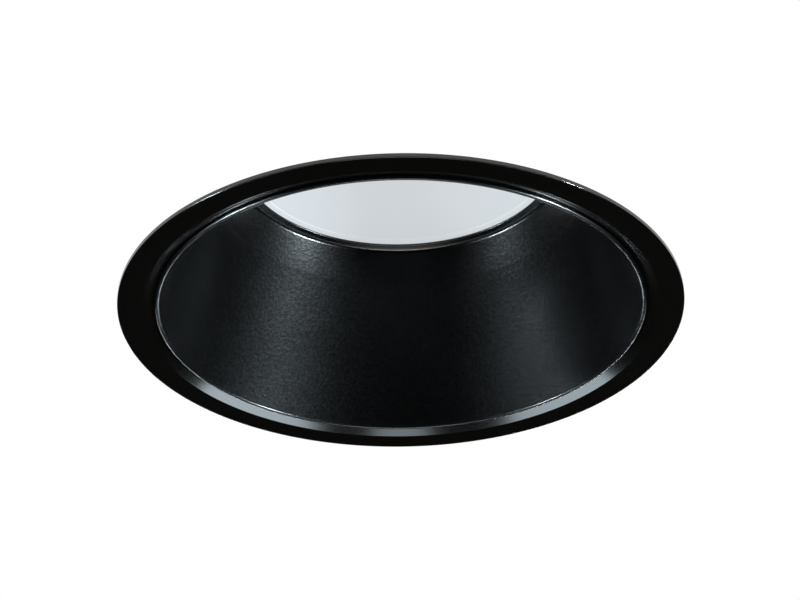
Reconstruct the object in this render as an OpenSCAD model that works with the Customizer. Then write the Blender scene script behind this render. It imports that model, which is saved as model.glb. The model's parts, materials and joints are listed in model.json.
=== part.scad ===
// Recessed soffit downlight. A black trim ring and a black cone reflector show below the board.
// A pressed can, a heat sink, a driver box and three spring clips lie above it.
// Millimetres. Z = 0 is the underside of the soffit board, and +Z goes up into the void.
// The light leaves downwards, along -Z. Clips are numbered anticlockwise seen from above.

/* [Reflector] */
// Inside diameter of the reflector's mouth, at the rolled lip
mouth_d = 162; // [158:1:168]
// Inside diameter of the turned-in neck, where the diffuser shows
neck_d = 108.6; // [104:0.2:112]
// Width of the neck's turned-in ring
neck_w = 3.1; // [2.6:0.1:4]
// Depth from the trim ring's face to the top of the neck
reflector_h = 61.7; // [58:0.1:70]
// Thickness of the spun sheet
reflector_t = 0.8; // [0.6:0.1:1]
// Diameter of the rolled bead on the lip
bead_d = 1.5; // [1.2:0.1:1.8]
// How far the bead lies back from the trim ring's face
bead_recess = 0.3; // [0.1:0.1:0.8]
// Radius inside the corner between cone and neck
neck_corner_r = 1.2; // [0.8:0.1:2]

/* [Trim ring] */
// Open gap round the reflector's lip
lip_gap = 0.5; // [0.3:0.1:0.8]
// Width of the band that slopes in from the flat ring
slope_w = 3.8; // [3:0.1:5]
// Rise of that band
slope_rise = 1.4; // [1:0.1:1.6]
// Width of the flat ring
face_w = 8.2; // [7.6:0.1:12]
// Thickness of the flange
flange_t = 1.5; // [1.4:0.1:2]
// Radius on the flange's front outer corner
flange_edge_r = 0.8; // [0.4:0.1:1]
// Wall of the spigot behind the flange
spigot_t = 1.3; // [1.2:0.1:2]
// Height of the spigot above the soffit
spigot_h = 10; // [9:0.5:12]
// Width of the ledge that the lip seats against
ledge_w = 1.1; // [0.8:0.1:1.2]
// Thickness of that ledge
ledge_t = 1.4; // [1:0.1:2]
// Width of the gasket in the flange's back
gasket_w = 5; // [3:0.5:6]
// Depth of the gasket and its groove
gasket_t = 0.6; // [0.4:0.1:0.8]

/* [Can] */
// Sheet thickness of the can
can_t = 1; // [0.8:0.1:1.2]
// Height of the collar that fills the board's cut-out
collar_h = 15; // [14:0.5:18]
// Level gap between reflector and can, where the leaf catches lie
can_gap = 1.8; // [1.8:0.1:2.4]
// Diameter of the screws through the collar and round the top flange
m3_d = 3; // [2.5:0.5:3]
// Number of collar screws and of leaf catches
catch_n = 3; // [3:1:3]

/* [Diffuser] */
// Thickness of the opal sheet
diffuser_t = 1.5; // [1.2:0.1:2]
// How far the diffuser's face reaches outside the neck's opening
diffuser_lap = 2; // [1.5:0.1:2.4]
// Inset of the ring groove from the neck's edge
groove_inset = 2.3; // [2:0.1:4]
// Width of the ring groove
groove_w = 0.9; // [0.6:0.1:1.4]
// Depth of the ring groove
groove_h = 0.45; // [0.3:0.05:0.7]
// Width of the diffuser's rim
rim_w = 4.5; // [4:0.1:4.7]
// Thickness of the seal under the rim
seal_t = 1; // [0.8:0.1:1.4]
// Width of the retaining ring's foot
ring_foot_w = 3.2; // [3:0.1:3.4]
// Number of screws in the retaining ring
ring_screw_n = 6; // [3:1:8]

/* [Heat sink] */
// Height inside the light chamber, from the can's flange to the heat sink
chamber_h = 10.5; // [10:0.1:14]
// Wall of the heat sink's skirt, which also sets the width of the can's top flange
skirt_t = 5; // [4.8:0.1:6]
// Room between the retaining ring and the skirt
skirt_room = 0.6; // [0.4:0.1:2]
// Thickness of the heat sink's base
base_t = 4; // [3.5:0.5:6]
// Height of the fins
fin_h = 20; // [14:1:26]
// Thickness of one fin
fin_t = 1.8; // [1.4:0.1:2.4]
// Number of fins
fin_n = 24; // [16:4:28]
// Radius of the open middle between the fins
fin_in_r = 20; // [18:1:26]
// Thickness of the gasket between can and heat sink
chamber_gasket_t = 0.8; // [0.5:0.1:1]
// Number of screws that hold the heat sink
sink_screw_n = 6; // [4:1:8]

/* [Light board] */
// Diameter of the light board
board_d = 92; // [84:1:100]
// Thickness of the light board
board_t = 1.6; // [1.2:0.1:2]
// Thickness of the thermal pad
pad_t = 0.5; // [0.3:0.1:1]
// Side of one LED package
led_w = 3; // [2.5:0.1:4]
// Height of one LED package
led_h = 0.8; // [0.6:0.1:1]
// Radii of the rings of packages
led_ring_r = [24, 34]; // inner and outer ring
// Packages in each ring
led_ring_n = [8, 16]; // inner and outer ring
// Diameter of one DC lead
lead_d = 1.6; // [1.4:0.1:1.8]

/* [Driver] */
// Length of the driver box
box_l = 116; // [112:1:118]
// Width of the driver box
box_w = 56; // [54:1:60]
// Height of the box's base
box_h = 24; // [24:0.5:30]
// Wall of the box
box_wall = 2; // [1.8:0.1:2.4]
// Thickness of the lid and of the terminal cover
lid_t = 2; // [1.6:0.1:2.6]
// Distance from the box's middle to the seam between lid and cover
seam_x = 25; // [22:1:26]
// Air gap between the fins and the bracket
air_gap = 3.5; // [3:0.5:8]
// Sheet thickness of the bracket
bracket_t = 1.2; // [1:0.1:2]
// Width of the bracket
bracket_w = 78; // [76:1:84]
// Length of the bracket
bracket_l = 114; // [110:1:114]
// Height of the circuit board above the box's floor
pcb_lift = 4.3; // [3:0.1:5]
// Thickness of the circuit board
pcb_t = 1.6; // [1.2:0.1:2]
// Diameter of the cover's hinge pin
hinge_d = 2; // [1.8:0.1:2.2]
// Largest cable that the gland takes
cable_d = 8.2; // [6:0.1:8.6]
// Thread diameter of the cable gland
gland_d = 16; // [16:0.5:17]

/* [Spring clips] */
// Number of clips round the can
clip_n = 3; // [3:1:3]
// Direction of the first clip
clip_first = 90; // [70:5:110]
// Sheet thickness of bracket and arm
clip_t = 1; // [0.8:0.1:1.2]
// Length of the arm from its pin
arm_l = 36; // [30:1:42]
// Width over the arm's two cheeks
arm_w = 14.8; // [13:0.1:16]
// How far the arm slopes down when it is at rest
arm_droop = 20; // [16:1:22]
// Diameter of the hinge pin
pin_d = 3; // [2.5:0.1:3.1]
// Height of the hinge pin above the collar's top
pin_lift = 7; // [7:0.1:9]
// Radius of the round ear on arm and bracket
ear_r = 3; // [2.6:0.1:3.1]
// Wire diameter of the torsion spring
wire_d = 0.9; // [0.7:0.05:1]
// Middle radius of the spring's curls
coil_r = 2.5; // [2.3:0.05:2.7]
// Number of whole curls
coil_n = 5; // [3:1:5]
// Clear gap between two curls
coil_gap = 0.55; // [0.5:0.05:0.7]
// Length of the spring's leg on the bracket
fixed_leg = 14; // [10:1:18]
// Length of the spring's leg on the arm
arm_leg = 15; // [10:1:18]
// Length of the rubber foot
foot_l = 15; // [12:0.5:18]

/* [Hidden] */
$fn = 96;

// Clearances
seat_gap = 0.2;   // between the reflector's bead and the ledge
slip = 0.1;       // between a part and the part that slides over it
hole_slip = 0.1;  // round a screw or rivet, on the radius
run_slip = 0.05;  // round a hinge pin, on the radius
rest_gap = 0.3;   // between parts that only lie near each other
pin_grip = 0.02;  // round a pin that is held fast, on the radius
cut = 1;          // how far a cut reaches past the face it opens
sunk = 0.5;       // how deep one form of a piece reaches into the next

// Trim ring and reflector mouth
mouth_r = mouth_d / 2;
bead_r = bead_d / 2;
lip_r = mouth_r + bead_r;
seat_r = mouth_r + bead_d + lip_gap;
slope_r = seat_r + slope_w;
flange_r = slope_r + face_w;
face_z = -flange_t;
lip_z = face_z + bead_recess + bead_r;
ledge_z = lip_z + bead_r + seat_gap;
ledge_r = seat_r - ledge_w;
spigot_r = seat_r + spigot_t;
gasket_in_r = spigot_r + 3.7;
gasket_out_r = gasket_in_r + gasket_w;

// Reflector cone and neck
neck_r = neck_d / 2;
throat_r = neck_r + neck_w;
neck_top_z = face_z + reflector_h;
neck_z = neck_top_z - reflector_t;
cone_a = atan((mouth_r - throat_r) / (neck_z - lip_z));
cone_t = reflector_t / cos(cone_a);
corner_c = [throat_r - neck_corner_r * tan((90 - cone_a) / 2), neck_z - neck_corner_r];

// Can
face_lap_r = neck_r + diffuser_lap;
collar_in_r = spigot_r + slip;
collar_r = collar_in_r + can_t;
collar_z = 0;
can_top_z = neck_top_z + rest_gap;
flange_z = can_top_z + can_t;
rim_r = face_lap_r + rim_w;
ring_in_r = rim_r + rest_gap + 0.1;
ring_r = ring_in_r + ring_foot_w;
skirt_in_r = ring_r + skirt_room;
sink_r = skirt_in_r + skirt_t;
can_hole_r = face_lap_r + rest_gap;
collar_screw_n = 3;
collar_screw_first = 50;
ring_screw_first = 30;
collar_screw_z = (ledge_z + ledge_t + spigot_h) / 2 + 0.5;
m3_r = m3_d / 2;
m3_head_r = m3_r + 1.3;
m3_head_h = 1.8;
m3_tall_h = m3_head_h + 0.4;
collar_head_x = sqrt(pow(seat_r, 2) - pow(m3_head_r, 2)) - 0.01;
flat_in = 0.3;
flat_edge = 1;

// Diffuser stack on the can's flange
face_glass_z = neck_top_z + 0.15;
rim_z = flange_z + seal_t;
rim_top_z = rim_z + diffuser_t;
ring_t = 1;
seal_inset = 0.8;
ring_lip_r = face_lap_r + 1.2;
ring_screw_r = (ring_in_r + ring_r) / 2;
m2_r = 1;
m2_head_r = m2_r + 0.7;
m2_head_h = 1.2;
m2_slot = 0.5;
m2_end = 0.4;

// Heat sink
sink_screw_r = sink_r - skirt_t / 2;
sink_screw_bite = 7;
post_screw_l = 9;
hole_spare = 1;
sink_head_r = m3_head_r - 0.2;
fin_back = 1;
skirt_z = flange_z + chamber_gasket_t;
base_z = flange_z + chamber_h;
base_top_z = base_z + base_t;
fin_top_z = base_top_z + fin_h;
wire_hole_r = 5;
pad_z = base_z - pad_t;
board_z = pad_z - board_t;
board_r = board_d / 2;
board_screw_n = 3;
board_screw_first = 30;
board_screw_r = board_r - 5;
board_screw_bite = 2.5;
board_hole_h = 3;
board_head_r = m3_head_r - 0.3;
pad_inset = 2;
pad_hole_r = m3_r + 0.6;
connector_x = 13;
connector_size = [6, 6, 3];
connector_bore = 2;
lead_y = lead_d / 2 + 0.3;
lead_z = board_z - connector_size.z / 2;
lead_bend_r = 5;
lead_sides = 8;
lead_knots = [1.5, -1, -4];
lead_first = 7;
lead_step = 4;
grommet_bore_r = 3.1;
grommet_end = 0.4;
grommet_lip_w = 1.4;
grommet_lip_h = 1;

// Driver box on its bracket
bracket_z = fin_top_z + air_gap;
floor_z = bracket_z + bracket_t;
floor_top_z = floor_z + box_wall;
box_top_z = floor_z + box_h;
lid_z = box_top_z;
cover_gap = 0.15;
cover_z = box_top_z + cover_gap;
cover_top_z = cover_z + lid_t;
pcb_z = floor_top_z + pcb_lift;
pcb_top_z = pcb_z + pcb_t;
pcb_x0 = -box_l / 2 + box_wall + 2;
pcb_x1 = seam_x + 19;
pcb_w = box_w - 2 * box_wall - 4;
post_xy = [36, 33.5];
post_r = 4.5;
bracket_corner_r = 8;
box_corner_r = 4;
driver_screw_xy = [48, 17];
boss_r = 3.2;
lid_screw_r = 1.2;
lid_screw_bite = 6;
lid_screw_head_r = 2.4;
lid_screw_head_h = 1.5;
lid_screw_slot = 0.6;
lid_hole_r = 1.5;
seam_boss_x = seam_x - 6;
seam_boss_gap = 1;
rib_t = 1.6;
rib_back = 2;
rib_inset = 4;
rib_gap = 0.5;
cover_boss_h = 5;
cover_hole_r = m3_r + 0.8;
cover_hole_h = 4;
cover_screw_bite = 2.2;
driver_boss_h = 2.5;
driver_screw_bite = 2;
pcb_post_r = 2;
pcb_post_xy = [38, pcb_w / 2 - 2.4];
pcb_room = 0.5;
lid_boss_xy = [box_l / 2 - box_wall - boss_r + 0.4, box_w / 2 - box_wall - boss_r + 0.4];
cover_screw_xy = [box_l / 2 - box_wall - boss_r + 0.5, box_w / 2 - box_wall - boss_r - 3];
seam_gap = 0.3;
terminal_x = seam_x + 4;
terminal_l = 13.5;
terminal_w = 30;
terminal_h = 12;
terminal_pitch = 9.5;
terminal_screw_in = 5;
terminal_screw_r = 2;
terminal_screw_h = 3.6;
terminal_slot = [0.6, 0.8];
terminal_well_h = 5;
terminal_entry_r = 2;
terminal_entry_l = 7;
terminal_entry_z = 4.5;
transformer_x = -box_l / 4;
core_w = 22;
core_h = 12;
bobbin_w = 13;
choke_xy = [6, -9];
choke_r = 4.4;
choke_wound_r = 2.1;
capacitor_r = 5;
capacitor_y = 10;
capacitor_h = 13;
device_w = 10;
device_t = 3;
device_x = pcb_x0 + 7;
tab_t = 1.2;
leg_w = 0.8;
leg_h = 3;
hinge_r = hinge_d / 2;
knuckle_r = hinge_r + 1.2;
hinge_z = cover_top_z + knuckle_r + 0.3;
knuckle_w = 8;
knuckle_in = 15;
gland_z = floor_z + box_h / 2;
gland_r = gland_d / 2;
gland_hex = 20;
gland_hex_w = 5;
cable_r = cable_d / 2;
gland_seal_r = 6.4;
gland_seat_l = 14;
locknut_t = 3;
thread_end = 0.4;
gland_neck_l = 9;
gland_bore_r = cable_r + 0.9;
gland_floor = 0.4;
gland_seal_end = 0.5;
nut_z = gland_hex_w + 0.4;
nut_r = gland_hex / 2 - 0.2;
nut_l = 8;
nut_dome_r = 4;
nut_dome_a = 75;
gland_x = box_l / 2;

// Spring clips
coil_out_r = coil_r + wire_d / 2;
shoulder_z = collar_h;
pin_z = shoulder_z + pin_lift;
pad_proud = 0.15;
leg_gap = 0.13;
pin_x = pad_proud + clip_t + leg_gap + coil_out_r;
pin_reach = pin_x / cos(cone_a);
pin_r = can_out_r(pin_z) + pin_reach;
pin_drop = pin_reach * sin(cone_a);
pin_rad = pin_d / 2;
plate_s0 = 4;
plate_l = 22;
cheek_in = arm_w / 2 + 0.4;
plate_w = 2 * (cheek_in + clip_t);
web_z = -(coil_out_r + leg_gap) - clip_t;
rivet_r = 1.5;
rivet_head_r = rivet_r + 1.2;
rivet_head_a = 50;
clinch_r = rivet_r + 0.8;
clinch_z = [0.45, 0.9];
ear_l = 16;
ear_foot = 1.2;
pin_head_r = pin_rad + 0.7;
pin_head_t = 1.15;
web_x = 1;
arm_corner_r = 3;
cheek_x = arm_l - foot_l - 1;
cheek_low = 2;
cheek_knee = [8, 0.8];
foot_x = arm_l - foot_l + 1;
foot_nose = 1.5;
foot_wall = 1.6;
foot_edge = 3;
foot_rib_r = 0.6;
foot_rib_n = 4;
foot_rib_x = 2;
foot_rib_pitch = 3;
foot_rib_inset = 1;
curl_steps = 8;
wire_sides = 6;
rivet_s = [8, 18];
rivet_y = 4.8;
coil_pitch = wire_d + coil_gap;
catch_first = 30;
catch_w = 8;
catch_t = 0.5;
catch_z = 24;
catch_l = 18;
catch_nose = [4, 5];
catch_bite = 0.25;
catch_rivet_s = catch_l - 4;
catch_back = can_gap * cos(cone_a) - 0.2;
catch_head_r = rivet_r + 0.9;
catch_head_h = 0.5;
catch_tail_r = rivet_r + 1.1;
catch_tail_h = 0.8;

function arc(c, r, a0, a1, n) = [for (i = [0:n]) c + r * [cos(a0 + (a1 - a0) * i / n),
    sin(a0 + (a1 - a0) * i / n)]];
function cone_in_r(z) = mouth_r - (z - lip_z) * tan(cone_a);
function cone_out_r(z) = cone_in_r(z) + cone_t;
function can_in_r(z) = cone_out_r(z) + can_gap;
function can_out_r(z) = can_in_r(z) + can_t / cos(cone_a);
function unit(v) = v / norm(v);
function turn_y(p, a) = [p.x * cos(a) - p.z * sin(a), p.y, p.x * sin(a) + p.z * cos(a)];

// A ring of copies, the first one in the direction of the angle first
module around(n, first = 0) {
    for (i = [0:n - 1])
        rotate([0, 0, first + 360 * i / n]) children();
}

// A flat ring from z0 to z1
module ring(r_in, r_out, z0, z1) {
    rotate_extrude()
        polygon([[r_in, z0], [r_out, z0], [r_out, z1], [r_in, z1]]);
}

// A round bar along +Z from z0 to z1
module bar(r, z0, z1) {
    translate([0, 0, z0]) cylinder(r = r, h = z1 - z0);
}

// A pan-head screw. The head's underside is at Z = 0, the shank points along -Z.
module screw(r, l, head_r, head_h, slot_w = 0.8) {
    difference() {
        union() {
            bar(r, -l, 0);
            rotate_extrude()
                polygon(concat([[0, 0], [head_r, 0]],
                    arc([head_r - head_h * 0.6, head_h * 0.4], head_h * 0.6, 0, 90, 4),
                    [[0, head_h]]));
        }
        for (a = [0, 90])
            rotate([0, 0, a])
                translate([-head_r * 0.6, -slot_w / 2, head_h * 0.45])
                    cube([head_r * 1.2, slot_w, head_h]);
    }
}

// A block with its four upright edges rounded, centred in X and Y, from Z = 0
module rounded_block(l, w, h, r) {
    translate([-l / 2 + r, -w / 2, 0]) cube([l - 2 * r, w, h]);
    translate([-l / 2, -w / 2 + r, 0]) cube([l, w - 2 * r, h]);
    for (x = [-1, 1], y = [-1, 1])
        translate([x * (l / 2 - r), y * (w / 2 - r), 0]) cylinder(r = r, h = h);
}

// Places a thing on the can's slope at height z, with X outwards and Z up the slope
module on_slope(z) {
    translate([can_out_r(z), 0, z]) rotate([0, -cone_a, 0]) children();
}

// Places a thing at a clip's hinge pin, with Y along the pin
module at_pin() {
    translate([pin_r, 0, pin_z]) children();
}

// Places a thing for clip number i
module clip_at(i) {
    rotate([0, 0, clip_first + (i - 1) * 360 / clip_n]) children();
}

// One unbroken tube along points that lie near an XZ plane, with flat ends and triangle faces
module tube(points, r, sides) {
    n = len(points);
    dirs = [for (i = [0:n - 1]) unit(points[min(i + 1, n - 1)] - points[max(i - 1, 0)])];
    rings = [for (i = [0:n - 1], j = [0:sides - 1])
        let (u = unit(cross([0, 1, 0], dirs[i])), v = cross(dirs[i], u), a = 360 * j / sides)
        points[i] + r * (u * cos(a) + v * sin(a))];
    walls = [for (i = [0:n - 2], j = [0:sides - 1])
        let (a = i * sides + j, b = i * sides + (j + 1) % sides)
        each [[a, b, b + sides], [a, b + sides, a + sides]]];
    first_cap = [for (j = [1:sides - 2]) [0, j + 1, j]];
    last = (n - 1) * sides;
    last_cap = [for (j = [1:sides - 2]) [last, last + j, last + j + 1]];
    polyhedron(points = rings, faces = concat(walls, first_cap, last_cap));
}

// Cast ring on the soffit: flat face, band sloping in, ledge for the lip, spigot behind
module trim_ring() color("#1b1b1c") {
    difference() {
        rotate_extrude()
            polygon(concat(
                [[ledge_r, ledge_z], [seat_r, ledge_z], [seat_r, face_z + slope_rise],
                    [slope_r, face_z]],
                arc([flange_r - flange_edge_r, face_z + flange_edge_r], flange_edge_r, -90, 0, 5),
                [[flange_r, 0], [gasket_out_r, 0], [gasket_out_r, -gasket_t],
                    [gasket_in_r, -gasket_t], [gasket_in_r, 0], [spigot_r, 0], [spigot_r, spigot_h],
                    [seat_r, spigot_h], [seat_r, ledge_z + ledge_t],
                    [ledge_r, ledge_z + ledge_t]]));
        collar_screw_holes(spigot_r + cut);
    }
}

// Radial holes for the collar screws, out to radius r
module collar_screw_holes(r) {
    around(collar_screw_n, collar_screw_first)
        translate([seat_r - cut, 0, collar_screw_z]) rotate([0, 90, 0])
            cylinder(r = m3_r + hole_slip, h = r - seat_r + cut);
}

// Sponge gasket pressed flush into the groove in the flange's back
module soffit_gasket() color("#3a3a3c") {
    ring(gasket_in_r + slip, gasket_out_r - slip, -gasket_t, 0);
}

// Spun cone with a rolled lip and a neck turned in over the diffuser's edge
module reflector() color("#232324") {
    edge_r = reflector_t / 2;
    rotate_extrude()
        translate([lip_r, lip_z]) circle(r = bead_r, $fn = 32);
    rotate_extrude()
        polygon(concat([[mouth_r, lip_z]],
            arc(corner_c, neck_corner_r, cone_a, 90, 5),
            arc([neck_r + edge_r, neck_z + edge_r], edge_r, 270, 90, 6),
            arc(corner_c, neck_corner_r + reflector_t, 90, cone_a, 5),
            [[mouth_r + cone_t, lip_z]]));
}

// Spring-steel leaves that grip the cone from outside
module reflector_catches() color("#b9bcc0") {
    around(catch_n, catch_first)
        translate([cone_out_r(catch_z), 0, catch_z]) rotate([0, -cone_a, 0])
            difference() {
                rotate([90, 0, 0])
                    linear_extrude(height = catch_w, center = true)
                        polygon([[catch_back, 0], [catch_back, catch_l], [catch_back - catch_t, catch_l],
                            [catch_back - catch_t, catch_l / 2], [catch_bite, catch_nose[1]],
                            [catch_bite, catch_nose[0]], [catch_back - catch_t, 0]]);
                translate([-cut, 0, catch_rivet_s]) rotate([0, 90, 0])
                    cylinder(r = rivet_r + hole_slip, h = can_gap + 2 * cut);
            }
}

// Rivets through the leaves and the can
module catch_rivets() color("#c4c6c8") {
    face = catch_back - catch_t;
    outer = can_gap * cos(cone_a) + can_t + slip;
    around(catch_n, catch_first)
        translate([cone_out_r(catch_z), 0, catch_z]) rotate([0, -cone_a, 0])
            translate([0, 0, catch_rivet_s]) rotate([0, 90, 0]) {
                bar(rivet_r, face, outer);
                bar(catch_head_r, face - catch_head_h, face);
                bar(catch_tail_r, outer, outer + catch_tail_h);
            }
}

// Pressed shell: collar in the cut-out, shoulder, cone and top flange, with flats for the clips
module can() color("#8d9093") {
    difference() {
        union() {
            rotate_extrude()
                polygon([[collar_in_r, collar_z], [collar_r, collar_z], [collar_r, shoulder_z],
                    [can_out_r(shoulder_z), shoulder_z], [can_out_r(can_top_z), can_top_z],
                    [sink_r, can_top_z], [sink_r, flange_z], [can_hole_r, flange_z],
                    [can_hole_r, can_top_z], [can_in_r(can_top_z), can_top_z],
                    [can_in_r(shoulder_z - can_t), shoulder_z - can_t],
                    [collar_in_r, shoulder_z - can_t]]);
            for (i = [1:clip_n])
                clip_at(i) on_slope(pin_z)
                    translate([flat_in - can_t, -plate_w / 2 - flat_edge, plate_s0 - flat_edge])
                        cube([can_t - flat_in + pad_proud, plate_w + 2 * flat_edge,
                            plate_l + 2 * flat_edge]);
        }
        for (i = [1:clip_n])
            clip_at(i) on_slope(pin_z) clip_rivet_places(-can_t - cut)
                cylinder(r = rivet_r + hole_slip, h = can_t + pad_proud + 2 * cut);
        around(collar_screw_n, collar_screw_first)
            translate([collar_in_r - cut, 0, collar_screw_z]) rotate([0, 90, 0])
                cylinder(r = m3_r + hole_slip, h = can_t + 2 * cut);
        around(catch_n, catch_first)
            translate([cone_out_r(catch_z), 0, catch_z]) rotate([0, -cone_a, 0])
                translate([can_gap - cut, 0, catch_rivet_s]) rotate([0, 90, 0])
                    cylinder(r = rivet_r + hole_slip, h = can_t + 2 * cut);
        around(sink_screw_n)
            translate([sink_screw_r, 0, 0]) bar(m3_r + hole_slip, can_top_z - cut, flange_z + cut);
        around(ring_screw_n, ring_screw_first)
            translate([ring_screw_r, 0, 0]) bar(m2_r + hole_slip, can_top_z - cut, flange_z + cut);
    }
}

// Pan-head screws driven outwards through the spigot into the collar
module collar_screws() color("#a9abad") {
    around(collar_screw_n, collar_screw_first)
        translate([collar_head_x, 0, collar_screw_z]) rotate([0, -90, 0])
            screw(m3_r, collar_r - collar_head_x - slip, m3_head_r, m3_head_h);
}

// Opal disc: a shallow hat whose face fills the neck, with a ring groove near its edge
module diffuser() color("#eef2f3") {
    g = neck_r - groove_inset;
    rotate_extrude()
        polygon([[0, face_glass_z], [g - groove_w / 2, face_glass_z], [g, face_glass_z + groove_h],
            [g + groove_w / 2, face_glass_z], [face_lap_r, face_glass_z], [face_lap_r, rim_z],
            [rim_r, rim_z], [rim_r, rim_top_z], [face_lap_r - diffuser_t, rim_top_z],
            [face_lap_r - diffuser_t, face_glass_z + diffuser_t], [0, face_glass_z + diffuser_t]]);
}

// Silicone ring between the can's flange and the diffuser's rim
module diffuser_seal() color("#c9c9c6") {
    ring(face_lap_r + seal_inset, rim_r - rest_gap, flange_z, rim_z);
}

// Pressed ring that clamps the rim, standing on its own foot
module diffuser_ring() color("#b4b7ba") {
    difference() {
        rotate_extrude()
            polygon([[ring_in_r, flange_z], [ring_r, flange_z], [ring_r, rim_top_z + ring_t],
                [ring_lip_r, rim_top_z + ring_t], [ring_lip_r, rim_top_z],
                [ring_in_r, rim_top_z]]);
        around(ring_screw_n, ring_screw_first)
            translate([ring_screw_r, 0, 0])
                bar(m2_r + hole_slip, flange_z - cut, rim_top_z + ring_t + cut);
    }
}

// Small screws through the retaining ring into the can's flange
module diffuser_ring_screws() color("#c4c6c8") {
    around(ring_screw_n, ring_screw_first)
        translate([ring_screw_r, 0, rim_top_z + ring_t])
            screw(m2_r, rim_top_z + ring_t - can_top_z + m2_end, m2_head_r, m2_head_h, m2_slot);
}

// Flat gasket between the can's flange and the heat sink
module chamber_gasket() color("#2f2f31") {
    difference() {
        ring(skirt_in_r + slip, sink_r - slip, flange_z, skirt_z);
        around(sink_screw_n)
            translate([sink_screw_r, 0, 0]) bar(m3_r + hole_slip, flange_z - cut, skirt_z + cut);
    }
}

// Die-cast cup: skirt, base, radial fins and four posts for the bracket
module heat_sink() color("#6f7275") {
    difference() {
        union() {
            rotate_extrude()
                polygon([[wire_hole_r, base_z], [skirt_in_r, base_z], [skirt_in_r, skirt_z],
                    [sink_r, skirt_z], [sink_r, base_top_z], [wire_hole_r, base_top_z]]);
            around(fin_n, 180 / fin_n)
                translate([fin_in_r, -fin_t / 2, base_top_z - sunk])
                    cube([sink_r - fin_back - fin_in_r, fin_t, fin_h + sunk]);
            for (x = [-1, 1], y = [-1, 1])
                translate([x * post_xy.x, y * post_xy.y, 0])
                    bar(post_r, base_top_z - sunk, bracket_z);
        }
        for (x = [-1, 1], y = [-1, 1])
            translate([x * post_xy.x, y * post_xy.y, 0])
                bar(m3_r, bracket_z - post_screw_l, bracket_z + cut);
        around(sink_screw_n)
            translate([sink_screw_r, 0, 0])
                bar(m3_r, skirt_z - cut, skirt_z + sink_screw_bite + hole_spare);
        around(board_screw_n, board_screw_first)
            translate([board_screw_r, 0, 0]) bar(m3_r, base_z - cut, base_z + board_hole_h);
    }
}

// Screws from below through the can's flange into the skirt
module heat_sink_screws() color("#b9bbbd") {
    around(sink_screw_n)
        translate([sink_screw_r, 0, can_top_z]) rotate([180, 0, 0])
            screw(m3_r, skirt_z + sink_screw_bite - can_top_z, sink_head_r, m3_head_h);
}

// Grey pad between the light board and the heat sink
module thermal_pad() color("#9aa0a6") {
    difference() {
        ring(wire_hole_r, board_r - pad_inset, pad_z, base_z);
        around(board_screw_n, board_screw_first)
            translate([board_screw_r, 0, 0]) bar(pad_hole_r, pad_z - cut, base_z + cut);
    }
}

// Aluminium-cored board with a hole for the leads
module led_board() color("#f1f1ee") {
    difference() {
        ring(wire_hole_r, board_r, board_z, pad_z);
        around(board_screw_n, board_screw_first)
            translate([board_screw_r, 0, 0]) bar(m3_r + hole_slip, board_z - cut, pad_z + cut);
    }
}

// Light-emitting packages in two rings on the board's lower face
module led_packages() color("#f4d35e") {
    for (k = [0:len(led_ring_r) - 1])
        around(led_ring_n[k], 180 / led_ring_n[k])
            translate([led_ring_r[k] - led_w / 2, -led_w / 2, board_z - led_h])
                cube([led_w, led_w, led_h]);
}

// Screws from below that press the board to its pad
module led_board_screws() color("#c4c6c8") {
    around(board_screw_n, board_screw_first)
        translate([board_screw_r, 0, board_z]) rotate([180, 0, 0])
            screw(m3_r, base_z + board_screw_bite - board_z, board_head_r, m3_head_h);
}

// Two-way connector on the board, its entries towards the hole in the middle
module led_connector() color("#e8e8e4") {
    difference() {
        translate([connector_x, -connector_size.y / 2, board_z - connector_size.z])
            cube(connector_size);
        for (s = [-1, 1])
            translate([connector_x - cut, s * lead_y, lead_z]) rotate([0, 90, 0])
                cylinder(r = lead_d / 2 + hole_slip, h = connector_bore + cut);
    }
}

// Route of one DC lead in its own upright plane, from the connector up to the circuit board
function lead_route(y) = concat(
    [for (x = lead_knots) [connector_x + x, y, lead_z]],
    [for (p = arc([lead_bend_r, lead_z + lead_bend_r], lead_bend_r, 270, 180, 6)) [p.x, y, p[1]]],
    [for (z = [board_z + lead_first:lead_step:pcb_z - lead_step]) [0, y, z]],
    [[0, y, pcb_z]]);
module lead(y) {
    tube(lead_route(y), lead_d / 2, lead_sides);
}
module lead_red() color("#b3261e") lead(lead_y);
module lead_black() color("#222222") lead(-lead_y);

// Rubber grommets in the heat sink's base and in the box's floor
module lead_grommets() color("#2a2a2c") {
    for (p = [[base_z, base_top_z], [bracket_z, floor_top_z]])
        rotate_extrude()
            polygon([[grommet_bore_r, p[0] - grommet_end], [wire_hole_r - slip, p[0] - grommet_end],
                [wire_hole_r - slip, p[1]], [wire_hole_r + grommet_lip_w, p[1]],
                [wire_hole_r + grommet_lip_w, p[1] + grommet_lip_h],
                [grommet_bore_r, p[1] + grommet_lip_h]]);
}

// Steel plate that carries the driver box on the heat sink's posts
module driver_bracket() color("#9a9da0") {
    difference() {
        translate([0, 0, bracket_z])
            rounded_block(bracket_l, bracket_w, bracket_t, bracket_corner_r);
        bar(wire_hole_r, bracket_z - cut, floor_z + cut);
        for (x = [-1, 1], y = [-1, 1]) {
            translate([x * post_xy.x, y * post_xy.y, 0])
                bar(m3_r + hole_slip, bracket_z - cut, floor_z + cut);
            translate([x * driver_screw_xy.x, y * driver_screw_xy.y, 0])
                bar(m3_r + hole_slip, bracket_z - cut, floor_z + cut);
        }
    }
}

// Screws that hold the bracket on the posts
module bracket_screws() color("#b9bbbd") {
    for (x = [-1, 1], y = [-1, 1])
        translate([x * post_xy.x, y * post_xy.y, floor_z])
            screw(m3_r, post_screw_l, m3_head_r, m3_tall_h);
}

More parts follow.
